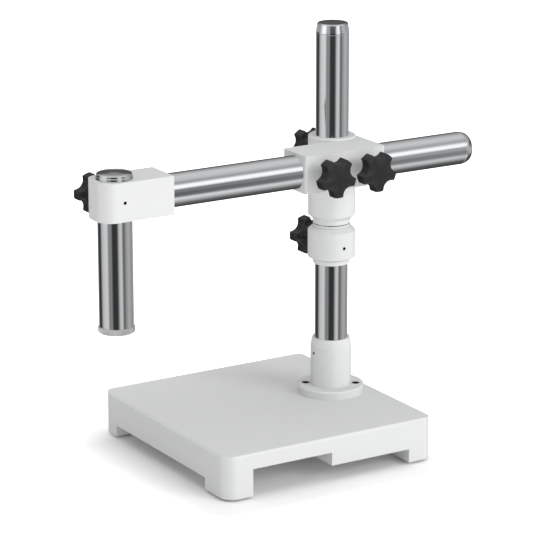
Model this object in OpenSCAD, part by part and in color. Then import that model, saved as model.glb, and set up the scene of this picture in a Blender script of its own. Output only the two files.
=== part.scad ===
// Universal boom stand for a stereo microscope: cast base, chromed column,
// stop collar, cross clamp, sliding boom, end block and drop post.
// Units are millimetres. +X is the operator's right, +Y points away from the
// operator and +Z is up. The origin lies under the middle of the bounding box,
// on the bench.

/* [Base] */
// Width of the base casting, left to right
base_w = 239.5; // [220:0.5:300]
// Depth of the base casting, front to back
base_d = 231; // [220:1:290]
// Height of the casting from leg sole to specimen surface
base_h = 41.5; // [38:0.5:60]
// Thickness of the top plate of the casting
plate_t = 8.5; // [7:0.5:12]
// Radius of the upright corners
corner_r = 13.5; // [8:1:20]
// Depth of the front skirt below the specimen surface
front_skirt = 30; // [20:0.5:34]
// Depth of the open side skirts
side_skirt = 15; // [12:0.5:24]
// Depth of the rear beam and rear skirt
rear_skirt = 28; // [24:0.5:34]
// Length of each leg along the side
leg_d = 28.5; // [24:1:40]
// Width of the two left legs
leg_w_left = 26.5; // [24:1:50]
// Width of the two right legs
leg_w_right = 40; // [24:1:50]
// Distance of the rear beam's front face from the column axis
beam_front = 75; // [60:1:100]
// Distance of the column axis from the rear edge of the base
column_inset = 41; // [38:1:60]
// Diameter of the four foot pads
pad_d = 23; // [16:1:24]
// Height of the foot pads
pad_h = 2.5; // [2:0.5:5]

/* [Column] */
// Diameter of the column, the boom and the drop post
tube_d = 32; // [30:0.5:34]
// Wall of the three chromed tubes
tube_wall = 3; // [2:0.5:5]
// Height of the column above the specimen surface, cap included
column_h = 367.5; // [330:0.5:500]
// Length of each tapered end cap
cap_len = 10; // [8:0.5:12]
// How much each end cap narrows towards its tip, on the radius
cap_taper = 2; // [1:0.25:3]

/* [Socket] */
// How far the flange stands out from the socket
flange_lip = 12.5; // [12:0.5:18]
// Thickness of the flange
flange_t = 8; // [7.5:0.5:12]
// Wall of the socket around the column
socket_wall = 4; // [3:0.25:7]
// Height of the socket with its flange
socket_h = 56; // [48:0.5:70]
// Distance of the two flange screws from the socket's outside
screw_out = 4.5; // [4.25:0.25:7]

/* [Stop collar] */
// Height of the collar's lower end above the specimen surface
collar_z = 131.5; // [110:0.5:160]
// Wall of the collar and of the clamp hub around the column
hub_wall = 7; // [6:0.5:10]
// Wall of the necks of the collar and of the hub
neck_wall = 2.5; // [2:0.25:4]
// Height of the whole collar
collar_h = 39.5; // [36:0.5:60]
// Thickness of the washer between collar and clamp
washer_t = 1; // [0.8:0.1:2]

/* [Cross clamp] */
// Height of the clamp hub
hub_h = 86.5; // [80:0.5:110]
// Sideways gap between the column and the boom
tube_gap = 8.25; // [7:0.25:18]
// Wall of the boom block and of the end block beside the boom
block_wall = 4.25; // [4:0.25:9]
// Wall of the boom block and of the end block above and below the boom
block_lip = 2.25; // [1.5:0.25:6]
// Length of the clamp's boom block
block_len = 88.5; // [80:0.5:110]
// Wall of the boom block behind the column
rear_wall = 4.75; // [3:0.5:6.5]
// Gap between the two boom locking knobs
knob_space = 7; // [4:0.5:20]

/* [Boom and end block] */
// Length of the boom with its rear cap
boom_len = 367; // [340:1:480]
// How far the boom's rear end stands behind the column axis
boom_rear = 129; // [110:0.5:180]
// Length of the end block
end_len = 72; // [70:1:90]
// Radius of the end block's two front upright corners
end_corner_r = 14.5; // [8:1:17]
// Wall of the end block in front of the drop post
post_front = 5.5; // [5:0.5:12]

/* [Drop post] */
// Reach of the post below the end block, ring included
post_drop = 107.5; // [80:1:160]
// Height of the knurled end ring
ring_h = 5.75; // [4:0.25:10]
// How far the knurled end ring stands out from the drop post
ring_lip = 1; // [0.75:0.25:3]
// Height of the cap's rim on top of the end block
post_cap_h = 5.5; // [5:0.5:9]

/* [Knobs] */
// Diameter over the lobes of each star knob
knob_d = 38; // [36:1:44]
// Thickness of each star knob
knob_t = 14; // [12:0.5:20]
// Air between a knob and the piece it screws into
knob_gap = 12.5; // [9:0.5:15]
// Thread diameter of the locking studs
stud_d = 8; // [6:1:9]

/* [Hidden] */
$fn = 64;
eps = 1;
fit = 0.04;
touch = 0.3;

tube_r = tube_d / 2;
bore_r = tube_r + fit;
tube_in_r = tube_r - tube_wall;
cap_tip_d = tube_d - 2 * cap_taper;
socket_d = tube_d + 2 * socket_wall;
flange_d = socket_d + 2 * flange_lip;
flange_pcd = socket_d + 2 * screw_out;
hub_d = tube_d + 2 * hub_wall;
neck_d = tube_d + 2 * neck_wall;
hub_r = hub_d / 2;
neck_r = neck_d / 2;
block_w = tube_d + 2 * block_wall;
block_h = tube_d + 2 * block_lip;
boom_offset = tube_d + tube_gap;
block_rear = tube_r + rear_wall;
knob_pitch = knob_d + knob_space;
post_inset = tube_r + post_front;
ring_d = tube_d + 2 * ring_lip;
half_w = base_w / 2;

// heights above the bench
sole_z = pad_h;
top_z = pad_h + base_h;
collar_bot = top_z + collar_z;
collar_top = collar_bot + collar_h;
hub_bot = collar_top + washer_t;
hub_top = hub_bot + hub_h;
block_top = hub_top - 1.5;
boom_drop = 0.5;
boom_z = block_top - block_h / 2 - boom_drop;
block_bot = block_top - block_h;
col_top = top_z + column_h;
ring_bot = block_bot - post_drop;
ring_top = ring_bot + ring_h;

// positions along Y before the shift to the middle of the bounding box
boom_back = boom_rear;
boom_front = boom_rear - boom_len;
plug_seat = 3;
post_y0 = boom_front - plug_seat - tube_r - 2;
end_front = post_y0 - post_inset;
end_back = end_front + end_len;
shift_y = -(end_front + boom_back) / 2;

col_y = shift_y;
post_y = post_y0 + shift_y;
boom_y0 = boom_front + shift_y;
boom_y1 = boom_back + shift_y;
base_y1 = col_y + column_inset;
base_y0 = base_y1 - base_d;
beam_y = col_y - beam_front;
block_y1 = col_y + block_rear;
block_y0 = block_y1 - block_len;
block_mid = (block_y0 + block_y1) / 2;
knob_y_front = block_mid - knob_pitch / 2;
knob_y_rear = block_mid + knob_pitch / 2;
block_x0 = boom_offset - block_w / 2;
block_x1 = boom_offset + block_w / 2;
end_y0 = end_front + shift_y;
end_y1 = end_back + shift_y;

// collar profile heights, from its lower end
collar_low = 4.3;
collar_cone_low = 1.9;
collar_cyl_top = 33;
collar_cone_top = 4;
collar_lock_z = collar_bot + 18.25;
hub_neck = 4.6;
hub_cone = 3.85;
column_lock_z = boom_z;
post_lock_z = boom_z - 3;

wall = 8;
skirt_in = plate_t;
boss_r = flange_d / 2 + 5.5;
screws = 2;
screw_turn = 57;
screw_r = 2;
screw_head_r = 3.75;
screw_head_h = 4;
screw_bore_r = 2.3;
counter_r = 4.2;
counter_depth = 4.5;
screw_len = 16;
hex_r = 1.9;
hex_depth = 2.5;
grub_r = 1.6;
grub_hex_r = 0.95;
grub_z = top_z + 41.25;
edge = 2;
stud_r = stud_d / 2;
pad_r = stud_r - 0.4;
pad_len = 2.2;
pin_r = 2;
pin_len = 3;
knob_boss_r = stud_r + 3;
knob_boss_out = 7;
knob_r = knob_d / 2;
knob_reach = knob_gap + knob_t;
valley_r = 9;
valley_at = knob_r + 3.3;
lobes = 5;
plug_len = 24;
fix_r = 4;
fix_head_r = 6.5;
fix_head_h = 5;
fix_len = 20;

white = [0.9, 0.9, 0.89];
chrome = [0.78, 0.79, 0.8];
steel = [0.55, 0.56, 0.58];
dark = [0.12, 0.12, 0.13];
black = [0.09, 0.09, 0.1];
brass = [0.75, 0.6, 0.3];
grey = [0.7, 0.7, 0.69];

// ---------- shared shapes ----------

module rod(r, length) {
    cylinder(r = r, h = length);
}

// cylinder that starts at the origin and runs along +X
module rod_x(r, length) {
    rotate([0, 90, 0])
        rod(r, length);
}

// cylinder that starts at the origin and runs along +Y
module rod_y(r, length) {
    rotate([-90, 0, 0])
        rod(r, length);
}

module slab(x0, x1, y0, y1, z0, z1) {
    translate([x0, y0, z0])
        cube([x1 - x0, y1 - y0, z1 - z0]);
}

// flat outline with four round corners
module round_outline(x0, x1, y0, y1, r) {
    translate([x0 + r, y0])
        square([x1 - x0 - 2 * r, y1 - y0]);
    translate([x0, y0 + r])
        square([x1 - x0, y1 - y0 - 2 * r]);
    for (x = [x0 + r, x1 - r], y = [y0 + r, y1 - r])
        translate([x, y])
            circle(r = r);
}

// tapered end cap with a plug, open side down, seam at the origin
module end_cap() {
    rotate_extrude()
        polygon([
            [0, -cap_len], [tube_in_r - fit, -cap_len], [tube_in_r - fit, 0], [tube_r, 0],
            [tube_r, cap_len * 0.15], [cap_tip_d / 2 + 0.8, cap_len - 1],
            [cap_tip_d / 2 - 0.4, cap_len], [0, cap_len]
        ]);
}

// domed end cap of the boom, seam at the origin
module dome_cap() {
    rotate_extrude()
        polygon([
            [0, -cap_len], [tube_in_r - fit, -cap_len], [tube_in_r - fit, 0], [tube_r, 0],
            [tube_r, cap_len * 0.1], [tube_r - 0.4, cap_len * 0.4],
            [tube_r - 1.4, cap_len * 0.7], [tube_r - 2.8, cap_len * 0.9],
            [tube_r - 4.5, cap_len], [0, cap_len]
        ]);
}

module tube(length) {
    difference() {
        rod(tube_r, length);
        translate([0, 0, -eps])
            rod(tube_in_r, length + 2 * eps);
    }
}

// slotless set screw along +X with a hexagon socket in its outer end
module grub(length) {
    difference() {
        rod_x(grub_r, length);
        translate([length - 1.8, 0, 0])
            rotate([0, 90, 0])
                cylinder(r = grub_hex_r, h = 2 + eps, $fn = 6);
    }
}

// cap screw along -Z, head seat at the origin
module cap_screw(r, length, head_r, head_h) {
    difference() {
        union() {
            rod(head_r, head_h);
            translate([0, 0, -length])
                rod(r, length + eps);
        }
        translate([0, 0, head_h - hex_depth])
            cylinder(r = hex_r, h = hex_depth + eps, $fn = 6);
    }
}

// outline of the star knob, one lobe along +X
module star() {
    difference() {
        circle(r = knob_r);
        for (i = [0:lobes - 1])
            rotate(i * 360 / lobes + 180 / lobes)
                translate([valley_at, 0])
                    circle(r = valley_r);
    }
}

// star knob on a screw axis along +X that leaves the holder's face at x = 0
module knob_at(turn) {
    rotate([0, 90, 0])
        rotate([0, 0, turn])
            translate([0, 0, knob_gap])
                difference() {
                    union() {
                        intersection() {
                            linear_extrude(knob_t)
                                star();
                            rotate_extrude()
                                polygon([
                                    [0, 0], [knob_r - 1, 0], [knob_r + 0.2, 2.5],
                                    [knob_r + 0.2, knob_t - 5], [knob_r - 2, knob_t - 1.6],
                                    [knob_r - 7, knob_t - 0.3], [0, knob_t]
                                ]);
                        }
                        translate([0, 0, -knob_boss_out])
                            rod(knob_boss_r, knob_boss_out + eps);
                    }
                    translate([0, 0, -eps])
                        difference() {
                            rod(knob_r - 8, knob_t - 5 + eps);
                            translate([0, 0, -eps])
                                rod(knob_boss_r, knob_t + 3 * eps);
                        }
                    translate([0, 0, -knob_boss_out - eps])
                        rod(stud_r + fit / 2, knob_t - 6 + knob_boss_out + eps);
                }
}

// locking stud from the pad to the inside of the knob
module stud_at(inner) {
    difference() {
        translate([-inner + pad_len, 0, 0])
            rod_x(stud_r, inner - pad_len + knob_gap + knob_t - 6 - fit);
        translate([-inner + pad_len - eps, 0, 0])
            rod_x(pin_r + fit, pin_len + eps + 0.2);
    }
}

// pressure pad with the pin that turns in the stud
module pad_at(inner) {
    translate([-inner, 0, 0]) {
        rod_x(pad_r, pad_len - 0.05);
        rod_x(pin_r, pad_len + pin_len);
    }
}

// ---------- base ----------

module base_prism(x0, x1, y0, y1, depth) {
    slab(x0, x1, y0, y1, top_z - depth, top_z - plate_t + eps);
}

// plan view of the legs, skirts and beam, each with its own depth
module base_plate() {
    color(white)
    difference() {
        intersection() {
            translate([0, 0, sole_z])
                linear_extrude(base_h)
                    round_outline(-half_w, half_w, base_y0, base_y1, corner_r);
            translate([0, base_y1 + eps, 0])
                rotate([90, 0, 0])
                    linear_extrude(base_d + 2 * eps)
                        polygon([
                            [-half_w, 0], [half_w, 0], [half_w, top_z - edge],
                            [half_w - edge, top_z], [edge - half_w, top_z],
                            [-half_w, top_z - edge]
                        ]);
            translate([-half_w - eps, 0, 0])
                rotate([90, 0, 90])
                    linear_extrude(base_w + 2 * eps)
                        polygon([
                            [base_y0, 0], [base_y1, 0], [base_y1, top_z - edge],
                            [base_y1 - edge, top_z], [base_y0 + edge, top_z],
                            [base_y0, top_z - edge]
                        ]);
            union() {
                slab(-half_w, half_w, base_y0, base_y1, top_z - plate_t, top_z);
                base_prism(-half_w, half_w, base_y0, base_y0 + wall, front_skirt);
                base_prism(-half_w, half_w, base_y1 - wall, base_y1, rear_skirt);
                for (x = [-half_w, half_w - wall]) {
                    base_prism(x, x + wall, base_y0, beam_y + eps, side_skirt);
                    base_prism(x, x + wall, beam_y, base_y1, rear_skirt);
                }
                base_prism(-half_w, half_w, beam_y, beam_y + wall, rear_skirt);
                for (y = [base_y0, base_y1 - leg_d]) {
                    base_prism(-half_w, leg_w_left - half_w, y, y + leg_d, base_h);
                    base_prism(half_w - leg_w_right, half_w, y, y + leg_d, base_h);
                }
                translate([0, col_y, top_z - rear_skirt])
                    rod(boss_r, rear_skirt - plate_t + eps);
            }
        }
        for (i = [0:screws - 1])
            translate([0, col_y, top_z - screw_len - eps])
                rotate(screw_turn + 360 * i / screws)
                    translate([flange_pcd / 2, 0, 0])
                        rod(screw_r + fit, screw_len + 2 * eps);
    }
}

module foot_pads() {
    color(grey)
    for (y = [base_y0 + leg_d / 2, base_y1 - leg_d / 2]) {
        translate([leg_w_left / 2 - half_w, y, 0])
            rod(pad_d / 2, pad_h);
        translate([half_w - leg_d / 2, y, 0])
            rod(pad_d / 2, pad_h);
    }
}

// ---------- column ----------

module column_socket() {
    color(white)
    translate([0, col_y, top_z])
        difference() {
            rotate_extrude()
                polygon([
                    [bore_r, 0], [flange_d / 2, 0], [flange_d / 2, flange_t - 1],
                    [flange_d / 2 - 1, flange_t], [socket_d / 2, flange_t],
                    [socket_d / 2, socket_h - 9], [socket_d / 2 - 0.6, socket_h - 5],
                    [socket_d / 2 - 1.5, socket_h - 1], [socket_d / 2 - 2, socket_h],
                    [bore_r, socket_h]
                ]);
            for (i = [0:screws - 1])
                rotate(screw_turn + 360 * i / screws)
                    translate([flange_pcd / 2, 0, -eps]) {
                        rod(screw_bore_r, flange_t + 2 * eps);
                        translate([0, 0, eps + flange_t - counter_depth])
                            rod(counter_r, counter_depth + eps);
                    }
            translate([0, 0, grub_z - top_z])
                rotate(-90)
                    rod_x(grub_r + fit / 2, socket_d);
        }
}

module socket_screws() {
    color(steel)
    for (i = [0:screws - 1])
        translate([0, col_y, top_z + flange_t - counter_depth])
            rotate(screw_turn + 360 * i / screws)
                translate([flange_pcd / 2, 0, 0])
                    cap_screw(screw_r, screw_len, screw_head_r, screw_head_h);
}

module socket_grub_screw() {
    color(dark)
    translate([0, col_y, grub_z])
        rotate(-90)
            translate([tube_r + 0.1, 0, 0])
                grub(socket_d / 2 - tube_r - 0.5);
}

module column_tube() {
    color(chrome)
    translate([0, col_y, top_z])
        tube(column_h - cap_len);
}

module column_cap() {
    color(chrome)
    translate([0, col_y, col_top - cap_len])
        end_cap();
}

// ---------- stop collar ----------

module stop_collar() {
    color(white)
    difference() {
        translate([0, col_y, collar_bot])
            rotate_extrude()
                polygon([
                    [bore_r, 0], [neck_r - 0.7, 0], [neck_r, collar_low],
                    [hub_r - 0.4, collar_low + collar_cone_low],
                    [hub_r, collar_low + collar_cone_low + 0.4],
                    [hub_r, collar_cyl_top], [neck_r + 0.3, collar_cyl_top + collar_cone_top],
                    [neck_r - 0.5, collar_cyl_top + collar_cone_top],
                    [neck_r - 0.5, collar_h], [bore_r, collar_h]
                ]);
        translate([0, col_y, collar_lock_z]) {
            rotate(180)
                rod_x(stud_r + fit, hub_d);
            rod_x(grub_r + fit / 2, hub_d);
        }
    }
}

module collar_grub_screw() {
    color(dark)
    translate([tube_r + touch, col_y, collar_lock_z])
        grub(hub_r - tube_r - touch - 0.4);
}

module thrust_washer() {
    color(steel)
    translate([0, col_y, collar_top])
        difference() {
            rod(neck_r - 1, washer_t);
            translate([0, 0, -eps])
                rod(bore_r, washer_t + 2 * eps);
        }
}

// ---------- cross clamp ----------

module cross_clamp() {
    color(white)
    difference() {
        union() {
            translate([0, col_y, hub_bot])
                rotate_extrude()
                    polygon([
                        [0, 0], [neck_r - 0.5, 0], [neck_r - 0.5, hub_neck],
                        [neck_r + 0.3, hub_neck], [hub_r, hub_neck + hub_cone],
                        [hub_r, hub_h - 0.8], [hub_r - 0.8, hub_h], [0, hub_h]
                    ]);
            translate([0, 0, block_bot])
                linear_extrude(block_h)
                    round_outline(block_x0, block_x1, block_y0, block_y1, 2.5);
            slab(0, boom_offset, col_y, block_y1, block_bot, block_top);
        }
        translate([0, col_y, hub_bot - eps])
            rod(bore_r, hub_h + 2 * eps);
        translate([boom_offset, block_y0 - eps, boom_z])
            rod_y(bore_r, block_len + 2 * eps);
        translate([0, col_y, column_lock_z])
            rotate(180)
                rod_x(stud_r + fit, hub_d);
        for (y = [knob_y_front, knob_y_rear])
            translate([boom_offset, y, boom_z])
                rod_x(stud_r + fit, block_w);
    }
}

// ---------- boom ----------

module boom_tube() {
    color(chrome)
    difference() {
        translate([boom_offset, boom_y0, boom_z])
            rod_y(tube_r, boom_len - cap_len);
        translate([boom_offset, boom_y0 - eps, boom_z])
            rod_y(tube_in_r, boom_len - cap_len + 2 * eps);
    }
}

module boom_rear_cap() {
    color(chrome)
    translate([boom_offset, boom_y1 - cap_len, boom_z])
        rotate([-90, 0, 0])
            dome_cap();
}

module boom_front_plug() {
    color(steel)
    difference() {
        translate([boom_offset, boom_y0, boom_z])
            rod_y(tube_in_r - fit, plug_len);
        translate([boom_offset, boom_y0 - eps, boom_z])
            rod_y(fix_r + fit, plug_len - 4);
    }
}

module boom_fixing_screw() {
    color(dark)
    translate([boom_offset, boom_y0 - plug_seat + 0.6, boom_z])
        rotate([90, 0, 0])
            cap_screw(fix_r, fix_len, fix_head_r, fix_head_h - 3);
}

module end_block() {
    color(white)
    difference() {
        translate([0, 0, block_bot])
            linear_extrude(block_h)
                union() {
                    translate([block_x0, end_y0 + end_corner_r])
                        square([block_w, end_len - end_corner_r]);
                    translate([block_x0 + end_corner_r, end_y0])
                        square([block_w - 2 * end_corner_r, end_len]);
                    for (x = [block_x0 + end_corner_r, block_x1 - end_corner_r])
                        translate([x, end_y0 + end_corner_r])
                            circle(r = end_corner_r);
                }
        translate([boom_offset, post_y, block_bot - eps])
            rod(bore_r, block_h + 2 * eps);
        translate([boom_offset, boom_y0, boom_z])
            rod_y(bore_r, end_len);
        translate([boom_offset, post_y, boom_z]) {
            rod_y(fix_r + 0.3, tube_d);
            rod_y(fix_head_r + 0.3, tube_r + 2 + 0.6);
            rod_x(grub_r + fit / 2, block_w);
        }
        translate([boom_offset, post_y, post_lock_z])
            rotate(180)
                rod_x(stud_r + fit, block_w);
    }
}

module end_block_grub_screw() {
    color(dark)
    translate([boom_offset + tube_r + touch, post_y, boom_z])
        grub(block_w / 2 - tube_r - touch - 0.4);
}

// ---------- drop post ----------

module drop_post() {
    color(chrome)
    translate([boom_offset, post_y, ring_top])
        tube(block_top - ring_top);
}

module drop_post_cap() {
    color(chrome)
    translate([boom_offset, post_y, block_top])
        rotate_extrude()
            polygon([
                [0, -12], [tube_in_r - fit, -12], [tube_in_r - fit, 0], [tube_r + 0.6, 0],
                [tube_r + 1, 0.4], [tube_r + 1, post_cap_h * 0.45],
                [tube_r + 0.5, post_cap_h * 0.55], [tube_r + 0.5, post_cap_h * 0.85],
                [tube_r - 0.5, post_cap_h], [tube_r - 3.5, post_cap_h + 0.6],
                [0, post_cap_h + 1.4]
            ]);
}

module post_end_ring() {
    color(grey)
    translate([boom_offset, post_y, ring_bot])
        difference() {
            union() {
                rod(ring_d / 2, ring_h);
                rod(tube_in_r - fit, ring_h + 8);
            }
            translate([0, 0, -eps])
                rod(tube_in_r - 4, ring_h + 8 + 2 * eps);
            knurl = 36;
            for (i = [0:knurl - 1])
                rotate(i * 360 / knurl)
                    translate([ring_d / 2 + 0.7, 0, 1])
                        rod(1, ring_h - 2);
        }
}

// ---------- locking screws ----------

module on_collar() {
    translate([-hub_r, col_y, collar_lock_z])
        rotate(180)
            children();
}

module on_hub() {
    translate([-hub_r, col_y, column_lock_z])
        rotate(180)
            children();
}

module on_block(y) {
    translate([block_x1, y, boom_z])
        children();
}

module on_end() {
    translate([block_x0, post_y, post_lock_z])
        rotate(180)
            children();
}

hub_in = hub_r - tube_r - touch;
block_in = block_w / 2 - tube_r - touch;

module collar_knob() { color(black) on_collar() knob_at(90); }
module collar_stud() { color(steel) on_collar() stud_at(hub_in); }
module collar_pad() { color(brass) on_collar() pad_at(hub_in); }
module column_knob() { color(black) on_hub() knob_at(0); }
module column_stud() { color(steel) on_hub() stud_at(hub_in); }
module column_pad() { color(brass) on_hub() pad_at(hub_in); }
module boom_knob_front() { color(black) on_block(knob_y_front) knob_at(0); }
module boom_stud_front() { color(steel) on_block(knob_y_front) stud_at(block_in); }
module boom_pad_front() { color(brass) on_block(knob_y_front) pad_at(block_in); }
module boom_knob_rear() { color(black) on_block(knob_y_rear) knob_at(0); }
module boom_stud_rear() { color(steel) on_block(knob_y_rear) stud_at(block_in); }
module boom_pad_rear() { color(brass) on_block(knob_y_rear) pad_at(block_in); }
module post_knob() { color(black) on_end() knob_at(90); }
module post_stud() { color(steel) on_end() stud_at(block_in); }
module post_pad() { color(brass) on_end() pad_at(block_in); }

base_plate();
foot_pads();
column_socket();
socket_screws();
socket_grub_screw();
column_tube();
column_cap();
stop_collar();
collar_grub_screw();
thrust_washer();
cross_clamp();
boom_tube();
boom_rear_cap();
boom_front_plug();
boom_fixing_screw();
end_block();
end_block_grub_screw();
drop_post();
drop_post_cap();
post_end_ring();
collar_knob();
collar_stud();
collar_pad();
column_knob();
column_stud();
column_pad();
boom_knob_front();
boom_stud_front();
boom_pad_front();
boom_knob_rear();
boom_stud_rear();
boom_pad_rear();
post_knob();
post_stud();
post_pad();
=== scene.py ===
"""Boom stand for a stereo microscope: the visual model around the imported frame."""

import logging
import math
from collections.abc import Callable, Iterable, Sequence
from dataclasses import dataclass, field
from enum import Enum

import bmesh
import bpy
from mathutils import Matrix, Vector


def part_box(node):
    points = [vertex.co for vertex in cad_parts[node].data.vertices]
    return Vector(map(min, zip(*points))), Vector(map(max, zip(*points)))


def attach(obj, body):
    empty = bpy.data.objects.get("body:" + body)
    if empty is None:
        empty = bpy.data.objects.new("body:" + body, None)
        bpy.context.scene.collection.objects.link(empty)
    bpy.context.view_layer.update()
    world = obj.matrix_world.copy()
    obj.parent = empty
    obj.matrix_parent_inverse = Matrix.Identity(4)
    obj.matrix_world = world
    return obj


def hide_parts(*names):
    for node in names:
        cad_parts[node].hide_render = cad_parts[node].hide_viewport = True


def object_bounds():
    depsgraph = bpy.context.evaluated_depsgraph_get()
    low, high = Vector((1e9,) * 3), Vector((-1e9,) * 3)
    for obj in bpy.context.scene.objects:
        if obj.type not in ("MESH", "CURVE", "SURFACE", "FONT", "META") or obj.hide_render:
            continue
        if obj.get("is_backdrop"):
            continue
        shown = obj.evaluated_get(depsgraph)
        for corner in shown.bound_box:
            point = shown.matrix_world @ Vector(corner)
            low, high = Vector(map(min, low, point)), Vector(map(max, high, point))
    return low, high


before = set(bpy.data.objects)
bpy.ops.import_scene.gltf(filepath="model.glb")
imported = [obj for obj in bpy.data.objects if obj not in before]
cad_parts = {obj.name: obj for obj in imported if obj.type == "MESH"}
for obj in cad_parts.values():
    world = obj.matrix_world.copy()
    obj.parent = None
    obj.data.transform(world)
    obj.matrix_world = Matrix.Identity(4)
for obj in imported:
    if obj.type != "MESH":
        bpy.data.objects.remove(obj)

LOG = logging.getLogger("boom_stand")
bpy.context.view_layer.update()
MM = 0.001
ROUND_STEPS = 144
SOFTEN_ANGLE = 28.0
MERGE_MM = 0.01
FLAT_ANGLE = 0.4
FULL_TURN = 2.0 * math.pi
TUBE_WALL_MM = 3.0
TUBE_EDGE_MM = 0.25
PLUG_R_MM = 12.9
UP = Vector((0.0, 0.0, 1.0))
BACK = Vector((0.0, 1.0, 0.0))

Radius = Callable[[float], float]
Ring = tuple[float, float | Radius]


class Face(Enum):
    """The way a screw axis points out of the piece that holds it."""

    LEFT = -1
    RIGHT = 1


# ---------------------------------------------------------------- finishes


def linear(code: str) -> tuple[float, float, float, float]:
    """Turn an sRGB hex colour into linear light.

    Args:
        code: Six hex digits, with or without a leading hash.

    Returns:
        Linear red, green, blue and an alpha of one.
    """
    digits = code.lstrip("#")
    parts = [int(digits[i : i + 2], 16) / 255.0 for i in (0, 2, 4)]
    light = [c / 12.92 if c <= 0.04045 else ((c + 0.055) / 1.055) ** 2.4 for c in parts]
    return (light[0], light[1], light[2], 1.0)


def add_node(
    tree: bpy.types.NodeTree,
    kind: str,
    settings: dict[str, object] | None = None,
    values: dict[str, object] | None = None,
    links: dict[str, bpy.types.NodeSocket] | None = None,
) -> bpy.types.Node:
    """Add one node to a tree.

    Args:
        tree: The tree that gets the node.
        kind: Blender's name of the node type.
        settings: Attributes of the node itself.
        values: Default values of its input sockets.
        links: Sockets that feed its input sockets.

    Returns:
        The new node.
    """
    node = tree.nodes.new(kind)
    for name, value in (settings or {}).items():
        setattr(node, name, value)
    for name, value in (values or {}).items():
        node.inputs[name].default_value = value
    for name, source in (links or {}).items():
        tree.links.new(source, node.inputs[name])
    return node


@dataclass(frozen=True)
class Finish:
    """What every surface finish shares."""

    name: str
    colour: str

    def start(self) -> tuple[bpy.types.Material, bpy.types.NodeTree, bpy.types.NodeSocket]:
        """Make an empty material and its object coordinates."""
        material = bpy.data.materials.new(self.name)
        material.use_nodes = True
        tree = material.node_tree
        tree.nodes.clear()
        coords = add_node(tree, "ShaderNodeTexCoord")
        return material, tree, coords.outputs["Object"]

    def close(
        self,
        tree: bpy.types.NodeTree,
        values: dict[str, object],
        links: dict[str, bpy.types.NodeSocket],
    ) -> None:
        """Add the surface shader and the output.

        Args:
            tree: The material's tree.
            values: Values set on the shader.
            links: Sockets linked to the shader.
        """
        shader = add_node(tree, "ShaderNodeBsdfPrincipled", values=values, links=links)
        add_node(
            tree, "ShaderNodeOutputMaterial", links={"Surface": shader.outputs["BSDF"]}
        )

    def build(self) -> bpy.types.Material:
        """Make the material."""
        raise NotImplementedError


def ramp_between(
    tree: bpy.types.NodeTree,
    factor: bpy.types.NodeSocket,
    low: tuple[float, float, float, float],
    high: tuple[float, float, float, float],
) -> bpy.types.NodeSocket:
    """Blend two colours by a factor.

    Args:
        tree: The tree that gets the node.
        factor: Zero gives the low colour and one the high one.
        low: First colour.
        high: Second colour.

    Returns:
        The blended colour's socket.
    """
    blend = add_node(
        tree,
        "ShaderNodeMix",
        {"data_type": "RGBA"},
        links={"Factor": factor},
    )
    blend.inputs[6].default_value = low
    blend.inputs[7].default_value = high
    return blend.outputs[2]


@dataclass(frozen=True)
class StovedEnamel(Finish):
    """Sprayed and stoved gloss enamel over a casting: smooth, faint orange peel."""

    roughness: float = 0.3
    peel_mm: float = 1.6
    peel_height: float = 0.02

    def build(self) -> bpy.types.Material:
        """Make the enamel material."""
        material, tree, place = self.start()
        # orange peel about 1.6 mm across, a few micrometres high
        peel = add_node(
            tree,
            "ShaderNodeTexNoise",
            values={"Scale": 1.0 / (self.peel_mm * MM), "Detail": 2.0, "Roughness": 0.45},
            links={"Vector": place},
        )
        bump = add_node(
            tree,
            "ShaderNodeBump",
            values={"Strength": 0.12, "Distance": self.peel_height * MM},
            links={"Height": peel.outputs[0]},
        )
        # thickness of the coat drifts over some 60 mm, which shades the white a little
        drift = add_node(
            tree,
            "ShaderNodeTexNoise",
            values={"Scale": 16.0, "Detail": 1.0},
            links={"Vector": place},
        )
        base = linear(self.colour)
        warm = (base[0] * 0.99, base[1] * 0.99, base[2] * 0.985, 1.0)
        colour = ramp_between(tree, drift.outputs[0], warm, base)
        self.close(
            tree,
            {
                "Roughness": self.roughness,
                "IOR": 1.5,
                "Coat Weight": 0.2,
                "Coat Roughness": 0.2,
                "Coat IOR": 1.5,
            },
            {"Base Color": colour, "Normal": bump.outputs["Normal"]},
        )
        return material


@dataclass(frozen=True)
class HardChrome(Finish):
    """Ground, plated and buffed steel: a near mirror with patches of faint haze."""

    roughness: float = 0.09
    haze_per_m: float = 35.0

    def build(self) -> bpy.types.Material:
        """Make the chrome material."""
        material, tree, place = self.start()
        # buffing haze: patches of about 29 mm that are a touch duller
        haze = add_node(
            tree,
            "ShaderNodeTexNoise",
            values={
                "Scale": self.haze_per_m,
                "Detail": 3.0,
                "Roughness": 0.6,
            },
            links={"Vector": place},
        )
        rough = add_node(
            tree,
            "ShaderNodeMapRange",
            values={
                "To Min": self.roughness * 0.75,
                "To Max": self.roughness * 1.3,
            },
            links={"Value": haze.outputs[0]},
        )
        self.close(
            tree,
            {"Base Color": linear(self.colour), "Metallic": 1.0},
            {"Roughness": rough.outputs["Result"]},
        )
        return material


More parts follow.
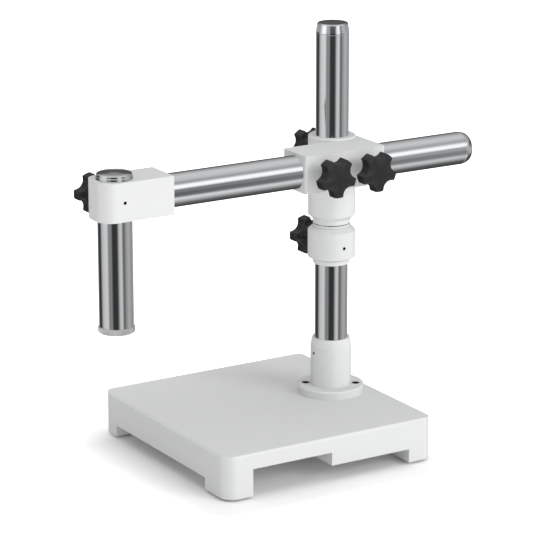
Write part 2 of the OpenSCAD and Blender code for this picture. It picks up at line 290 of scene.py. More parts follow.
@dataclass(frozen=True)
class MouldedPlastic(Finish):
    """Injection-moulded thermoplastic with a fine spark-eroded texture."""

    roughness: float = 0.36
    texture_mm: float = 0.5

    def build(self) -> bpy.types.Material:
        """Make the plastic material."""
        material, tree, place = self.start()
        # real mould texture is 0.1 mm, drawn at 0.5 mm so that it shows
        grain = add_node(
            tree,
            "ShaderNodeTexNoise",
            values={"Scale": 1.0 / (self.texture_mm * MM), "Detail": 3.0},
            links={"Vector": place},
        )
        bump = add_node(
            tree,
            "ShaderNodeBump",
            values={"Strength": 0.25, "Distance": 0.05 * MM},
            links={"Height": grain.outputs[0]},
        )
        base = linear(self.colour)
        worn = tuple(min(1.0, c * 1.35) for c in base[:3]) + (1.0,)
        colour = ramp_between(tree, grain.outputs[0], base, worn)
        self.close(
            tree,
            {"Roughness": self.roughness, "IOR": 1.49},
            {"Base Color": colour, "Normal": bump.outputs["Normal"]},
        )
        return material


@dataclass(frozen=True)
class TurnedMetal(Finish):
    """Metal straight from the lathe or the plating bath, with fine tool marks."""

    roughness: float = 0.3
    mark_mm: float = 0.4

    def build(self) -> bpy.types.Material:
        """Make the metal material."""
        material, tree, place = self.start()
        marks = add_node(
            tree,
            "ShaderNodeTexNoise",
            values={"Scale": 1.0 / (self.mark_mm * MM), "Detail": 2.0},
            links={"Vector": place},
        )
        rough = add_node(
            tree,
            "ShaderNodeMapRange",
            values={"To Min": self.roughness * 0.7, "To Max": self.roughness * 1.3},
            links={"Value": marks.outputs[0]},
        )
        self.close(
            tree,
            {"Base Color": linear(self.colour), "Metallic": 1.0},
            {"Roughness": rough.outputs["Result"]},
        )
        return material


@dataclass(frozen=True)
class SoftElastomer(Finish):
    """Pressed elastomer with a dull, slightly mottled skin."""

    roughness: float = 0.75

    def build(self) -> bpy.types.Material:
        """Make the elastomer material."""
        material, tree, place = self.start()
        mottle = add_node(
            tree,
            "ShaderNodeTexNoise",
            values={"Scale": 400.0, "Detail": 2.0},
            links={"Vector": place},
        )
        base = linear(self.colour)
        dusty = tuple(c * 0.8 for c in base[:3]) + (1.0,)
        colour = ramp_between(tree, mottle.outputs[0], dusty, base)
        self.close(tree, {"Roughness": self.roughness, "IOR": 1.5}, {"Base Color": colour})
        return material


@dataclass
class Palette:
    """The finishes of the stand, each made once."""

    enamel: bpy.types.Material = field(init=False)
    chrome: bpy.types.Material = field(init=False)
    aluminium: bpy.types.Material = field(init=False)
    zinc: bpy.types.Material = field(init=False)
    black_oxide: bpy.types.Material = field(init=False)
    plastic: bpy.types.Material = field(init=False)
    brass: bpy.types.Material = field(init=False)
    elastomer: bpy.types.Material = field(init=False)

    def __post_init__(self) -> None:
        """Make every material."""
        # stoved enamel: even, cool white, soft gloss
        self.enamel = StovedEnamel("stoved white enamel", "#E2E3E3").build()
        # hard chrome plate: mirror with hard light and dark bands
        self.chrome = HardChrome("buffed hard chrome", "#E2E4E6").build()
        # anodised aluminium: pale, satin
        self.aluminium = TurnedMetal("satin anodised aluminium", "#F2F2F2", 0.45).build()
        # zinc-plated steel: grey with a slight sparkle
        self.zinc = TurnedMetal("zinc-plated steel", "#A9ABAD", 0.32).build()
        # black oxide on steel: nearly black, oily sheen
        self.black_oxide = TurnedMetal("black-oxide steel", "#2A2A2C", 0.4).build()
        # moulded nylon: near black, fine matt
        self.plastic = MouldedPlastic("moulded black nylon", "#1E1E20").build()
        # turned brass: dull yellow
        self.brass = TurnedMetal("turned brass", "#C9A566", 0.35).build()
        # pressed elastomer: pale grey and dull
        self.elastomer = SoftElastomer("pressed grey elastomer", "#B4B4B2").build()


# ---------------------------------------------------------------- shaping


def centre(node: str) -> Vector:
    """Middle of a CAD node's box, in metres."""
    low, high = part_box(node)
    return (Vector(low) + Vector(high)) / 2.0


def shape_ring(verts: Iterable[bmesh.types.BMVert], z: float, radius: float | Radius) -> None:
    """Put the vertices of a ring at a height and a radius, keeping their angles.

    Args:
        verts: Vertices of the ring.
        z: Height in metres.
        radius: Radius in metres, or a function of the angle.
    """
    for vert in verts:
        angle = math.atan2(vert.co.y, vert.co.x)
        reach = radius(angle) if callable(radius) else radius
        vert.co = Vector((math.cos(angle) * reach, math.sin(angle) * reach, z))


def loft(
    rings: Sequence[Ring], steps: int = ROUND_STEPS, closed: bool = False
) -> bmesh.types.BMesh:
    """Extrude a circle from ring to ring along Z.

    Args:
        rings: Height and radius of each ring, in metres.
        steps: Number of edges round the shape.
        closed: True joins the last ring to the first, as on a tube's wall.

    Returns:
        The shape, with its ends filled unless it is closed on itself.
    """
    bm = bmesh.new()
    bmesh.ops.create_circle(bm, segments=steps, radius=1.0, cap_ends=False)
    first = list(bm.edges)
    shape_ring(bm.verts, *rings[0])
    edges = first
    for ring in rings[1:]:
        grown = bmesh.ops.extrude_edge_only(bm, edges=edges)["geom"]
        shape_ring([g for g in grown if isinstance(g, bmesh.types.BMVert)], *ring)
        verts = {g for g in grown if isinstance(g, bmesh.types.BMVert)}
        edges = [
            g
            for g in grown
            if isinstance(g, bmesh.types.BMEdge) and all(v in verts for v in g.verts)
        ]
    if closed:
        bmesh.ops.bridge_loops(bm, edges=first + edges)
    else:
        for loop in (first, edges):
            bmesh.ops.contextual_create(bm, geom=loop)
    bmesh.ops.recalc_face_normals(bm, faces=bm.faces)
    return bm


def rounded(points: Sequence[tuple[float, float, float]], arc_steps: int = 4) -> list[Ring]:
    """Round the corners of a turned profile.

    Args:
        points: Height, radius and corner radius of each point, in millimetres.
        arc_steps: Number of edges in each round.

    Returns:
        Rings in metres.
    """
    rings: list[Ring] = []
    for i, (z, r, fillet) in enumerate(points):
        if fillet <= 0.0 or i in (0, len(points) - 1):
            rings.append((z * MM, r * MM))
            continue
        here = Vector((z, r))
        before = Vector(points[i - 1][:2]) - here
        after = Vector(points[i + 1][:2]) - here
        cut = min(fillet, before.length * 0.49, after.length * 0.49)
        start = here + before.normalized() * cut
        end = here + after.normalized() * cut
        for k in range(arc_steps + 1):
            t = k / arc_steps
            spot = start * (1 - t) ** 2 + here * 2 * t * (1 - t) + end * t**2
            rings.append((spot.x * MM, spot.y * MM))
    return rings


def turned_to(axis: Vector) -> Matrix:
    """Rotation, 4 by 4, that points +Z along an axis."""
    return axis.to_track_quat("Z", "Y").to_matrix().to_4x4()


def make_piece(
    name: str,
    bm: bmesh.types.BMesh,
    material: bpy.types.Material,
    body: str,
    nodes: Sequence[str] = (),
    soften_mm: float = 0.0,
) -> bpy.types.Object:
    """Turn a bmesh into a finished piece that rides on a body.

    Args:
        name: Name of the piece.
        bm: Its shape, in place, in metres.
        material: Its material.
        body: CAD body that it rides on.
        nodes: CAD nodes that it replaces.
        soften_mm: Width of the softened edges.

    Returns:
        The new object.
    """
    mesh = bpy.data.meshes.new(name)
    for face in bm.faces:
        face.smooth = True
    bm.to_mesh(mesh)
    bm.free()
    piece = bpy.data.objects.new(name, mesh)
    bpy.context.scene.collection.objects.link(piece)
    piece.data.materials.append(material)
    if soften_mm > 0.0:
        bevel = piece.modifiers.new("soft edges", "BEVEL")
        bevel.width = soften_mm * MM
        bevel.segments = 3
        bevel.limit_method = "ANGLE"
        bevel.angle_limit = math.radians(SOFTEN_ANGLE)
        bevel.use_clamp_overlap = True
        bevel.miter_outer = "MITER_ARC"
    even = piece.modifiers.new("even shading", "WEIGHTED_NORMAL")
    even.weight = 60
    even.keep_sharp = False
    # the chrome mirrors the studio alone, so its stripes run straight to the castings
    piece.visible_glossy = False
    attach(piece, body)
    if nodes:
        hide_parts(*nodes)
    return piece


def merged_copy(node: str) -> bmesh.types.BMesh:
    """Copy a CAD node's triangles and join them into clean flat faces.

    Args:
        node: Name of the CAD node.

    Returns:
        The joined copy.
    """
    bm = bmesh.new()
    bm.from_mesh(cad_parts[node].data)
    bmesh.ops.remove_doubles(bm, verts=bm.verts, dist=MERGE_MM * MM)
    bmesh.ops.dissolve_limit(
        bm, angle_limit=math.radians(FLAT_ANGLE), verts=bm.verts, edges=bm.edges, delimit=set()
    )
    bmesh.ops.recalc_face_normals(bm, faces=bm.faces)
    return bm


def dress(node: str, material: bpy.types.Material) -> None:
    """Give a CAD node that stays its finish.

    Args:
        node: Name of the CAD node.
        material: Its material.
    """
    mesh_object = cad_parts[node]
    for place in mesh_object.material_slots:
        place.material = material
    if not mesh_object.material_slots:
        mesh_object.data.materials.append(material)


# ---------------------------------------------------------------- sub-assemblies


@dataclass
class Base:
    """The cast base with its foot pads."""

    palette: Palette
    edge_mm: float = 2.0
    pad_round_mm: float = 0.7

    def casting(self) -> bpy.types.Object:
        """Build the enamelled casting with soft edges."""
        return make_piece(
            "base_casting",
            merged_copy("base_plate"),
            self.palette.enamel,
            "stand",
            ["base_plate"],
            self.edge_mm,
        )

    def pads(self) -> bpy.types.Object:
        """Build the four foot pads."""
        return make_piece(
            "foot_pad_set",
            merged_copy("foot_pads"),
            self.palette.elastomer,
            "stand",
            ["foot_pads"],
            self.pad_round_mm,
        )


def bar(length: float, r: float, wall: float) -> bmesh.types.BMesh:
    """Build a tube with slightly broken ends along +Z from the origin.

    Args:
        length: Length in metres.
        r: Outside radius in metres.
        wall: Wall thickness in metres.

    Returns:
        The tube.
    """
    brk = TUBE_EDGE_MM * MM
    rings: list[Ring] = [
        (brk, r),
        (length - brk, r),
        (length, r - brk),
        (length, r - wall),
        (0.0, r - wall),
        (0.0, r - brk),
    ]
    return loft(rings, closed=True)


def place(bm: bmesh.types.BMesh, axis: Vector, spot: Vector) -> bmesh.types.BMesh:
    """Turn a shape's +Z to an axis and move its origin to a spot.

    Args:
        bm: The shape.
        axis: Direction that +Z gets.
        spot: Where the origin goes, in metres.

    Returns:
        The same shape.
    """
    bmesh.ops.transform(bm, matrix=Matrix.Translation(spot) @ turned_to(axis), verts=bm.verts)
    return bm


class CapForm(Enum):
    """Outline of a tube's end cap."""

    CONE = "cone"
    DOME = "dome"


@dataclass
class EndCap:
    """The plug cap in the end of a chromed tube."""

    form: CapForm = CapForm.CONE
    length_mm: float = 10.0
    plug_mm: float = 10.0
    tube_r_mm: float = 16.0
    plug_r_mm: float = 12.96
    tip_r_mm: float = 14.0
    seam_mm: float = 0.1

    def outline(self) -> list[tuple[float, float, float]]:
        """Height, radius and corner radius of the points outside the tube."""
        end = self.length_mm
        full = self.tube_r_mm
        if self.form is CapForm.DOME:
            return [
                (end * 0.12, full, 1.0),
                (end * 0.4, full - 0.45, 2.0),
                (end * 0.7, full - 1.45, 2.0),
                (end * 0.9, full - 2.9, 1.5),
                (end - 0.05, full - 4.9, 1.5),
            ]
        return [
            (end * 0.18, full, 1.5),
            (end - 0.6, self.tip_r_mm + 0.75, 0.5),
            (end, self.tip_r_mm - 0.1, 0.3),
        ]

    def shape(self) -> bmesh.types.BMesh:
        """Build the cap with its seam at the origin and its tip along +Z."""
        return loft(
            rounded(
                [
                    (-self.plug_mm, 1.0, 0.0),
                    (-self.plug_mm, self.plug_r_mm, 0.5),
                    (0.02, self.plug_r_mm, 0.0),
                    (0.02, self.tube_r_mm - self.seam_mm, 0.0),
                    (0.02 + self.seam_mm, self.tube_r_mm, 0.0),
                    *self.outline(),
                    (self.length_mm, 1.0, 0.0),
                ]
            )
        )


@dataclass
class Column:
    """The column with its socket and cap."""

    palette: Palette
    socket_edge_mm: float = 0.5

    def tube(self) -> bpy.types.Object:
        """Build the chromed column tube."""
        low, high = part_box("column_tube")
        r = (high[0] - low[0]) / 2.0
        spot = Vector((centre("column_tube").x, centre("column_tube").y, low[2]))
        bm = place(bar(high[2] - low[2], r, TUBE_WALL_MM * MM), UP, spot)
        return make_piece(
            "column_bar", bm, self.palette.chrome, "stand", ["column_tube"]
        )

    def cap(self) -> bpy.types.Object:
        """Build the cap on the column."""
        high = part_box("column_cap")[1]
        mid = centre("column_cap")
        shape = EndCap()
        spot = Vector((mid.x, mid.y, high[2] - shape.length_mm * MM))
        return make_piece(
            "column_top_cap",
            place(shape.shape(), UP, spot),
            self.palette.chrome,
            "stand",
            ["column_cap"],
        )

    def socket(self) -> bpy.types.Object:
        """Build the flanged socket."""
        return make_piece(
            "column_socket_casting",
            merged_copy("column_socket"),
            self.palette.enamel,
            "stand",
            ["column_socket"],
            self.socket_edge_mm,
        )


@dataclass
class StarKnob:
    """A five-lobed star knob, hollow at the back, with a boss for its stud."""

    palette: Palette
    lobe_count: int = 5
    reach_mm: float = 18.95
    valley_r_mm: float = 9.0
    valley_at_mm: float = 22.4
    corner_mm: float = 2.6
    thickness_mm: float = 14.0
    gap_mm: float = 12.5
    boss_r_mm: float = 7.0
    boss_out_mm: float = 7.0
    stud_r_mm: float = 4.0
    rim_mm: float = 2.4

    def outline(self, angle: float) -> float:
        """Reach of the star at an angle, in millimetres, with a lobe at angle zero."""
        step = FULL_TURN / self.lobe_count
        turn = (angle % step) - step / 2.0
        across = self.valley_at_mm * math.sin(turn)
        if abs(across) >= self.valley_r_mm:
            return self.reach_mm
        valley = self.valley_at_mm * math.cos(turn) - math.sqrt(
            self.valley_r_mm**2 - across**2
        )
        # the arc of the lobe runs into the valley over a rounded corner
        share = min(1.0, max(0.0, 0.5 + 0.5 * (self.reach_mm - valley) / self.corner_mm))
        blend = self.reach_mm + (valley - self.reach_mm) * share
        return blend - self.corner_mm * share * (1.0 - share)

    def star(self, inset_mm: float = 0.0, share: float = 1.0) -> Radius:
        """Make a radius function for a smaller star.

        Args:
            inset_mm: How much less the reach is.
            share: Factor on the reach.

        Returns:
            Radius in metres as a function of the angle.
        """
        return lambda angle: (self.outline(angle) * share - inset_mm) * MM

    def head(self) -> bmesh.types.BMesh:
        """Build the knob with its back face at the gap and its front along +Z."""
        back = self.gap_mm * MM
        front = (self.gap_mm + self.thickness_mm) * MM
        boss = self.boss_r_mm * MM
        bore = self.stud_r_mm * MM
        rings: list[Ring] = [
            (front - 6.0 * MM, bore),
            (back - self.boss_out_mm * MM, bore),
            (back - self.boss_out_mm * MM, boss - 0.6 * MM),
            (back - (self.boss_out_mm - 0.2) * MM, boss - 0.2 * MM),
            (back - (self.boss_out_mm - 0.7) * MM, boss),
            (back, boss),
            (front - 5.6 * MM, boss + 0.4 * MM),
            (front - 5.0 * MM, boss + 1.2 * MM),
            (front - 5.0 * MM, self.star(self.rim_mm + 1.4)),
            (front - 5.8 * MM, self.star(self.rim_mm + 0.7)),
            (back + 0.8 * MM, self.star(self.rim_mm)),
            (back + 0.2 * MM, self.star(self.rim_mm - 0.3)),
            (back, self.star(self.rim_mm - 0.9)),
            (back, self.star(0.9)),
            (back + 0.25 * MM, self.star(0.3)),
            (back + 0.9 * MM, self.star()),
            (front - 4.2 * MM, self.star()),
            (front - 3.0 * MM, self.star(0.15)),
            (front - 2.2 * MM, self.star(0.5)),
            (front - 1.7 * MM, self.star(1.0)),
            (front - 1.4 * MM, self.star(1.7)),
            (front - 1.05 * MM, self.star(3.4)),
            (front - 0.7 * MM, self.star(5.6, 0.98)),
            (front - 0.35 * MM, 7.0 * MM),
            (front - 0.1 * MM, 3.5 * MM),
            (front, 1.0 * MM),
        ]
        return loft(rings, steps=180)

    def build(
        self, prefix: str, body: str, spot: Vector, face: Face, turn: float
    ) -> bpy.types.Object:
        """Build one knob.

        Args:
            prefix: Name of the knob's CAD node.
            body: Body that it rides on.
            spot: Where the screw axis leaves the holder.
            face: Side that the axis points to.
            turn: Turn of the lobes about the axis, in radians.

        Returns:
            The knob.
        """
        bm = self.head()
        lay = Matrix(((0, 0, face.value), (0, 1, 0), (-face.value, 0, 0))).to_4x4()
        bmesh.ops.transform(bm, matrix=Matrix.Rotation(turn, 4, "Z"), verts=bm.verts)
        bmesh.ops.transform(bm, matrix=Matrix.Translation(spot) @ lay, verts=bm.verts)
        return make_piece(
            prefix + "_moulding", bm, self.palette.plastic, body, [prefix]
        )


@dataclass
class Locks:
    """All five star knobs."""

    palette: Palette
    star: StarKnob = field(init=False)

    def __post_init__(self) -> None:
        """Keep one knob shape for all."""
        self.star = StarKnob(self.palette)

    def build(self) -> list[bpy.types.Object]:
        """Build every knob on its own screw axis."""
        gap = self.star.gap_mm * MM
        boss = self.star.boss_out_mm * MM
        rows = [
            ("collar_knob", "collar_lock_knob", Face.LEFT, math.pi * 1.5),
            ("column_knob", "column_lock_knob", Face.LEFT, math.pi),
            ("boom_knob_front", "boom_front_lock_knob", Face.RIGHT, 0.0),
            ("boom_knob_rear", "boom_rear_lock_knob", Face.RIGHT, 0.0),
            ("post_knob", "post_lock_knob", Face.LEFT, math.pi * 1.5),
        ]
        made = []
        for node, body, face, turn in rows:
            low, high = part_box(node)
            stud = centre(node.replace("knob", "stud"))
            inner = low[0] if face is Face.RIGHT else high[0]
            spot = Vector((inner - face.value * (gap - boss), stud.y, stud.z))
            made.append(self.star.build(node, body, spot, face, turn))
        return made


@dataclass
class Castings:
    """The enamelled collar, cross clamp and end block."""

    palette: Palette
    collar_edge_mm: float = 0.5
    block_edge_mm: float = 0.9

    def build(self) -> list[bpy.types.Object]:
        """Build the three pieces."""
        rows = [
            ("stop_collar", "stop_collar_turning", "stop_collar", self.collar_edge_mm),
            ("cross_clamp", "cross_clamp_casting", "cross_clamp", self.block_edge_mm),
            ("end_block", "end_block_casting", "end_block", self.block_edge_mm),
        ]
        return [
            make_piece(
                name, merged_copy(node), self.palette.enamel, body, [node], edge
            )
            for node, name, body, edge in rows
        ]


@dataclass
class Boom:
    """The sliding boom with its rear cap."""

    palette: Palette

    def build(self) -> list[bpy.types.Object]:
        """Build the boom tube and its cap."""
        low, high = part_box("boom_tube")
        mid = centre("boom_tube")
        r = (high[0] - low[0]) / 2.0
        spot = Vector((mid.x, low[1], mid.z))
        tube = make_piece(
            "boom_bar",
            place(bar(high[1] - low[1], r, TUBE_WALL_MM * MM), BACK, spot),
            self.palette.chrome,
            "boom",
            ["boom_tube"],
        )
        shape = EndCap(CapForm.DOME)
        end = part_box("boom_rear_cap")[1][1]
        cap_spot = Vector((mid.x, end - shape.length_mm * MM, mid.z))
        cap = make_piece(
            "boom_end_cap",
            place(shape.shape(), BACK, cap_spot),
            self.palette.chrome,
            "boom",
            ["boom_rear_cap"],
        )
        return [tube, cap]


@dataclass
class DropPost:
    """The drop post with its cap and knurled ring."""

    palette: Palette
    cap_seat_mm: float = 12.03
    knurl_count: int = 72
    knurl_mm: float = 0.45
    ring_bore_r_mm: float = 9.0

    def tube(self) -> bpy.types.Object:
        """Build the chromed post."""
        low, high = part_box("drop_post")
        mid = centre("drop_post")
        r = (high[0] - low[0]) / 2.0
        bm = place(
            bar(high[2] - low[2], r, TUBE_WALL_MM * MM), UP, Vector((mid.x, mid.y, low[2]))
        )
        return make_piece(
            "drop_post_bar", bm, self.palette.chrome, "drop_post", ["drop_post"]
        )

    def cap(self) -> bpy.types.Object:
        """Build the domed flange cap."""
        low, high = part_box("drop_post_cap")
        mid = centre("drop_post_cap")
        r = (high[0] - low[0]) / 2.0 / MM
        top = (high[2] - low[2]) / MM
        seat = self.cap_seat_mm
        bm = loft(
            rounded(
                [
                    (0.0, 1.0, 0.0),
                    (0.0, PLUG_R_MM, 0.5),
                    (seat, PLUG_R_MM, 0.0),
                    (seat, r - 0.4, 0.2),
                    (seat + 0.4, r - 0.05, 0.2),
                    (seat + 2.4, r - 0.05, 0.2),
                    (seat + 2.8, r - 0.6, 0.2),
                    (seat + 4.7, r - 0.6, 0.3),
                    (seat + 5.4, r - 1.6, 0.5),
                    (seat + 6.0, r - 4.8, 2.0),
                    (top - 0.02, 4.0, 2.5),
                    (top, 1.0, 0.0),
                ]
            )
        )
        return make_piece(
            "drop_post_top_cap",
            place(bm, UP, Vector((mid.x, mid.y, low[2]))),
            self.palette.chrome,
            "post_cap",
            ["drop_post_cap"],
        )

    def ring(self) -> bpy.types.Object:
        """Build the ring with its straight knurl."""
        low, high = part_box("post_end_ring")
        mid = centre("post_end_ring")
        r = (high[0] - low[0]) / 2.0
        depth = self.knurl_mm * MM
        count = self.knurl_count

        def rib(angle: float) -> float:
            """Radius of the knurled band."""
            return r - depth * (0.5 + 0.5 * math.cos(angle * count))

        inner = self.ring_bore_r_mm * MM
        plug = PLUG_R_MM * MM
        rings: list[Ring] = [
            (0.35 * MM, r - 0.65 * MM),
            (0.6 * MM, r - 0.5 * MM),
            (0.7 * MM, rib),
            (4.9 * MM, rib),
            (5.0 * MM, r - 0.5 * MM),
            (5.7 * MM, r - 0.6 * MM),
            (5.7 * MM, plug),
            (13.7 * MM, plug),
            (13.7 * MM, inner),
            (0.0, inner),
            (0.0, r - 1.1 * MM),
        ]
        bm = loft(rings, steps=count * 6, closed=True)
        return make_piece(
            "post_knurled_ring",
            place(bm, UP, Vector((mid.x, mid.y, low[2]))),
            self.palette.aluminium,
            "end_ring",
            ["post_end_ring"],
        )


# ---------------------------------------------------------------- studio


Stops = Sequence[tuple[float, float]]

# grey of the mirrored studio by bearing from the camera, for level rays
AROUND: Stops = [
    (-180, 0.60), (-150, 0.35), (-132, 0.05), (-112, 0.04), (-100, 0.34),
    (-90, 0.66), (-60, 0.84), (-50, 0.74), (-43, 0.36), (-34, 0.25),
    (-27, 0.34), (-20, 0.18), (-14, 0.045), (13, 0.045), (20, 0.20),
    (28, 0.62), (40, 0.78), (47, 0.66), (54, 0.24), (60, 0.13), (67, 0.28),
    (90, 0.52), (105, 0.54), (125, 0.38), (150, 0.42), (180, 0.60),
]
# grey by elevation on the camera's side: dark horizon, one bright band above it
UPRIGHT: Stops = [
    (-90, 0.50), (-70, 0.75), (-57, 0.92), (-45, 1.00), (-34, 0.76), (-27, 0.42),
    (-20, 0.16), (-13, 0.08), (-2, 0.08), (4, 0.14), (10, 0.40), (16, 0.90),
    (21, 1.25), (30, 1.25), (35, 1.0), (40, 0.62), (45, 0.36), (53, 0.36),
    (62, 0.62), (90, 0.62),
]
# grey by elevation on the far side
FAR_SIDE: Stops = [
    (-90, 0.50), (-74, 0.42), (-62, 0.16), (-50, 0.07), (-14, 0.06), (-9, 0.42),
    (1, 0.42), (7, 0.10), (20, 0.09), (28, 0.36), (38, 0.44), (48, 0.62), (56, 0.72),
    (90, 0.62),
]
# elevations at which the bearing counts, on the camera's side and on the far side
NEAR_BAND: Stops = [(-90, 0.0), (-40, 0.0), (-26, 1.0), (8, 1.0), (13, 0.0), (90, 0.0)]
FAR_BAND: Stops = [(-90, 0.0), (-28, 0.0), (-22, 1.0), (-9, 1.0), (-4, 0.0), (90, 0.0)]
# gain on the level stripes by elevation, in units of GAIN
LIFT: Stops = [(-90, 0.44), (-16, 0.44), (-10, 0.5), (-2, 0.78), (90, 0.78)]
GAIN = 2.0
# glow of the sweep by distance from the base, in metres: near nil by the base, which paints a
# shadow round it, and strong far off, which whitens the backdrop
GLOW_WITH_PAINTED_SHADOW: Stops = [
    (0, 0), (0.02, 0.02), (0.045, 0.21), (0.08, 0.38), (0.14, 0.5), (0.3, 0.6), (0.9, 0.85),
]


@dataclass(frozen=True)
class SoftBox:
    """One square soft box."""

    name: str
    spot: tuple[float, float, float]
    size_m: float
    power_w: float


@dataclass
class Studio:
    """Camera, floor, lights and surroundings."""

    azimuth_deg: float = 58.39
    elevation_deg: float = 15.83
    distance_m: float = 2.565
    target: Vector = field(default_factory=lambda: Vector((0.02025, -0.00105, 0.18424)))
    lens_mm: float = 176.4
    sensor_mm: float = 36.0
    floor_size_m: float = 30.0
    # centre of the floor and of its glow, set towards the camera so that the painted shadow lies
    # in front of the base; glow_inner_m is the half-width of the box round it where the painted
    # shadow is darkest
    floor_spot: tuple[float, float] = (0.025, -0.015)
    glow_inner_m: float = 0.10
    glow_share: float = 0.25
    fill_grey: float = 0.56
    lamps_aim: tuple[float, float, float] = (0.0, 0.0, 0.15)
    soft_boxes: tuple[SoftBox, ...] = (
        SoftBox("key", (4.4, 2.2, 2.2), 2.6, 112.0),
        SoftBox("top", (0.2, 0.0, 2.8), 2.4, 30.0),
    )

    def camera(self) -> None:
        """Place the camera."""
        data = bpy.data.cameras.new("camera")
        data.lens = self.lens_mm
        data.sensor_width = self.sensor_mm
        data.clip_end = 100.0
        camera = bpy.data.objects.new("camera", data)
        bpy.context.scene.collection.objects.link(camera)
        az = math.radians(self.azimuth_deg)
        el = math.radians(self.elevation_deg)
        away = Vector(
            (math.sin(az) * math.cos(el), -math.cos(az) * math.cos(el), math.sin(el))
        )
        camera.location = self.target + away * self.distance_m
        camera.rotation_euler = away.to_track_quat("Z", "Y").to_euler()
        bpy.context.scene.camera = camera

    def floor(self) -> None:
        """Lay the pale floor, whose glow is dimmed round the base as a painted shadow."""
        bm = bmesh.new()
        bmesh.ops.create_grid(bm, x_segments=1, y_segments=1, size=self.floor_size_m / 2.0)
        mesh = bpy.data.meshes.new("studio_floor")
        bm.to_mesh(mesh)
        bm.free()
        floor = bpy.data.objects.new("studio_floor", mesh)
        bpy.context.scene.collection.objects.link(floor)
        floor.location = (*self.floor_spot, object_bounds()[0][2])
        material = bpy.data.materials.new("white sweep with painted shadow")
        material.use_nodes = True
        tree = material.node_tree
        tree.nodes.clear()
        # painted shadow: the sweep glows more the further it is from the base, so that near the
        # stand it is painted darker on top of the lamps' own shadow
        coords = add_node(tree, "ShaderNodeTexCoord")
        folded = add_node(
            tree,
            "ShaderNodeVectorMath",
            {"operation": "ABSOLUTE"},
            links={0: coords.outputs["Object"]},
        )
        outside = add_node(
            tree,
            "ShaderNodeVectorMath",
            {"operation": "SUBTRACT"},
            values={1: (self.glow_inner_m, self.glow_inner_m, 1.0)},
            links={0: folded.outputs["Vector"]},
        )
        clear = add_node(
            tree,
            "ShaderNodeVectorMath",
            {"operation": "MAXIMUM"},
            values={1: (0.0, 0.0, 0.0)},
            links={0: outside.outputs["Vector"]},
        )
        gap = add_node(
            tree,
            "ShaderNodeVectorMath",
            {"operation": "LENGTH"},
            links={0: clear.outputs["Vector"]},
        )
        path = add_node(tree, "ShaderNodeLightPath")
        # the glow clears the background and adds little light to the stand
        seen = add_node(
            tree,
            "ShaderNodeMapRange",
            values={"To Min": self.glow_share, "To Max": 1.0},
            links={"Value": path.outputs["Is Camera Ray"]},
        )
        glow = add_node(tree, "ShaderNodeValToRGB", links={"Fac": gap.outputs["Value"]})
        self.fill_ramp(glow, GLOW_WITH_PAINTED_SHADOW)
        shader = add_node(
            tree,
            "ShaderNodeBsdfPrincipled",
            values={
                "Base Color": (0.95, 0.95, 0.95, 1.0),
                "Roughness": 0.9,
                "Specular IOR Level": 0.0,
            },
            links={"Emission Color": glow.outputs["Color"], "Emission Strength": seen.outputs[0]},
        )
        add_node(tree, "ShaderNodeOutputMaterial", links={"Surface": shader.outputs["BSDF"]})
        floor.data.materials.append(material)
        floor.visible_glossy = False
        floor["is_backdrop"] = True

    def lamps(self) -> None:
        """Hang the soft boxes."""
        for box in self.soft_boxes:
            data = bpy.data.lights.new(box.name, "AREA")
            data.shape = "SQUARE"
            data.size = box.size_m
            data.energy = box.power_w
            lamp = bpy.data.objects.new(box.name, data)
            bpy.context.scene.collection.objects.link(lamp)
            spot = Vector(box.spot)
            lamp.location = spot
            away = spot - Vector(self.lamps_aim)
            lamp.rotation_euler = away.to_track_quat("Z", "Y").to_euler()
            lamp.visible_glossy = False

    def surroundings(self) -> None:
        """Make the studio that the chrome mirrors."""
        world = bpy.data.worlds.new("studio")
        bpy.context.scene.world = world
        world.use_nodes = True
        world.cycles.sampling_method = "NONE"
        tree = world.node_tree
        tree.nodes.clear()
        coords = add_node(tree, "ShaderNodeTexCoord")
        split = add_node(
            tree, "ShaderNodeSeparateXYZ", links={"Vector": coords.outputs["Generated"]}
        )
        # bearing from the camera's side, -1 to 1 for -180 to 180 degrees
        turn = add_node(
            tree,
            "ShaderNodeVectorRotate",
            {"rotation_type": "Z_AXIS"},
            values={"Angle": math.radians(90.0 - self.azimuth_deg)},
            links={"Vector": coords.outputs["Generated"]},
        )
        flat = add_node(tree, "ShaderNodeSeparateXYZ", links={"Vector": turn.outputs["Vector"]})
        bearing = add_node(
            tree,
            "ShaderNodeMath",
            {"operation": "ARCTAN2"},
            links={0: flat.outputs["Y"], 1: flat.outputs["X"]},
        )
        share = add_node(
            tree,
            "ShaderNodeMapRange",
            values={"From Min": -math.pi, "From Max": math.pi},
            links={"Value": bearing.outputs[0]},
        )
        around = self.ramp(tree, share.outputs["Result"], AROUND, 360.0)
        height = add_node(
            tree,
            "ShaderNodeMath",
            {"operation": "ARCSINE"},
            links={0: split.outputs["Z"]},
        )
        rise = add_node(
            tree,
            "ShaderNodeMapRange",
            values={"From Min": -math.pi / 2.0, "From Max": math.pi / 2.0},
            links={"Value": height.outputs[0]},
        )
        upright = self.ramp(tree, rise.outputs["Result"], UPRIGHT, 180.0)
        near_band = self.ramp(tree, rise.outputs["Result"], NEAR_BAND, 180.0)
        far_band = self.ramp(tree, rise.outputs["Result"], FAR_BAND, 180.0)
        far_side = self.ramp(tree, rise.outputs["Result"], FAR_SIDE, 180.0)
        side = add_node(
            tree,
            "ShaderNodeMapRange",
            values={"From Min": -0.3, "From Max": 0.3},
            links={"Value": flat.outputs["X"]},
        )
        upper = add_node(
            tree,
            "ShaderNodeMix",
            {"data_type": "RGBA"},
            links={"Factor": side.outputs["Result"], 6: far_side, 7: upright},
        )
        band = add_node(
            tree,
            "ShaderNodeMix",
            {"data_type": "RGBA"},
            links={"Factor": side.outputs["Result"], 6: far_band, 7: near_band},
        )
        lift = self.ramp(tree, rise.outputs["Result"], LIFT, 180.0)
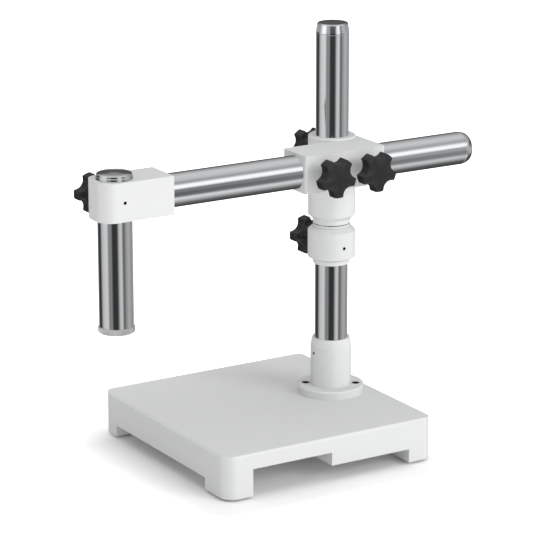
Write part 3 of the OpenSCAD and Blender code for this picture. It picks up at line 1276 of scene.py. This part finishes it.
        stripes = add_node(
            tree,
            "ShaderNodeVectorMath",
            {"operation": "MULTIPLY"},
            links={0: around, 1: lift},
        )
        brighter = add_node(
            tree,
            "ShaderNodeVectorMath",
            {"operation": "SCALE"},
            values={"Scale": GAIN},
            links={0: stripes.outputs["Vector"]},
        )
        seen = add_node(
            tree,
            "ShaderNodeMix",
            {"data_type": "RGBA"},
            links={"Factor": band.outputs[2], 6: upper.outputs[2], 7: brighter.outputs["Vector"]},
        )
        path = add_node(tree, "ShaderNodeLightPath")
        fill = add_node(
            tree,
            "ShaderNodeMix",
            {"data_type": "RGBA"},
            values={6: (self.fill_grey, self.fill_grey, self.fill_grey, 1.0)},
            links={"Factor": path.outputs["Is Glossy Ray"], 7: seen.outputs[2]},
        )
        white = add_node(
            tree,
            "ShaderNodeMix",
            {"data_type": "RGBA"},
            values={7: (1.0, 1.0, 1.0, 1.0)},
            links={"Factor": path.outputs["Is Camera Ray"], 6: fill.outputs[2]},
        )
        back = add_node(
            tree, "ShaderNodeBackground", links={"Color": white.outputs[2]}
        )
        add_node(tree, "ShaderNodeOutputWorld", links={"Surface": back.outputs["Background"]})

    def fill_ramp(self, node: bpy.types.Node, stops: Stops) -> None:
        """Give a colour ramp its grey stops, as position and level."""
        bands = node.color_ramp
        while len(bands.elements) > 1:
            bands.elements.remove(bands.elements[-1])
        for i, (where, level) in enumerate(stops):
            stop = bands.elements[0] if i == 0 else bands.elements.new(where)
            stop.position = where
            stop.color = (level, level, level, 1.0)

    def ramp(
        self,
        tree: bpy.types.NodeTree,
        factor: bpy.types.NodeSocket,
        stops: Stops,
        span: float,
    ) -> bpy.types.NodeSocket:
        """Add a grey ramp over an angle.

        Args:
            tree: The world's tree.
            factor: Zero to one over the span.
            stops: Angle in degrees and grey level of each stop.
            span: Whole range of the angle, in degrees, centred on zero.

        Returns:
            The ramp's colour socket.
        """
        node = add_node(tree, "ShaderNodeValToRGB", links={"Fac": factor})
        self.fill_ramp(node, [(angle / span + 0.5, level) for angle, level in stops])
        return node.outputs["Color"]

    def build(self) -> None:
        """Set up the whole studio."""
        self.camera()
        self.floor()
        self.lamps()
        self.surroundings()
        scene = bpy.context.scene
        scene.view_settings.view_transform = "Standard"
        scene.view_settings.look = "None"


def dress_small_parts(palette: Palette) -> None:
    """Give the CAD nodes that stay their finishes.

    Args:
        palette: The stand's finishes.
    """
    zinc = ["boom_front_plug", "thrust_washer"]
    zinc += [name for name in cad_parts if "stud" in name]
    black = [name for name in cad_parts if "grub" in name] + [
        "boom_fixing_screw",
        "socket_screws",
    ]
    for node in zinc:
        dress(node, palette.zinc)
    for node in black:
        dress(node, palette.black_oxide)
    for node in [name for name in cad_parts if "_pad" in name and name != "foot_pads"]:
        dress(node, palette.brass)


def main() -> None:
    """Build the stand, piece by piece."""
    logging.basicConfig(level=logging.INFO, format="%(name)s: %(message)s")
    palette = Palette()
    base = Base(palette)
    column = Column(palette)
    post = DropPost(palette)
    steps: list[tuple[str, Callable[[], object]]] = [
        ("base casting", base.casting),
        ("foot pads", base.pads),
        ("column tube", column.tube),
        ("column cap", column.cap),
        ("column socket", column.socket),
        ("collar, clamp and end block", Castings(palette).build),
        ("boom", Boom(palette).build),
        ("drop post", post.tube),
        ("drop post cap", post.cap),
        ("drop post ring", post.ring),
        ("star knobs", Locks(palette).build),
        ("studio", Studio().build),
    ]
    for name, build in steps:
        build()
        LOG.info("built %s", name)
    dress_small_parts(palette)


if __name__ == "__main__":
    main()
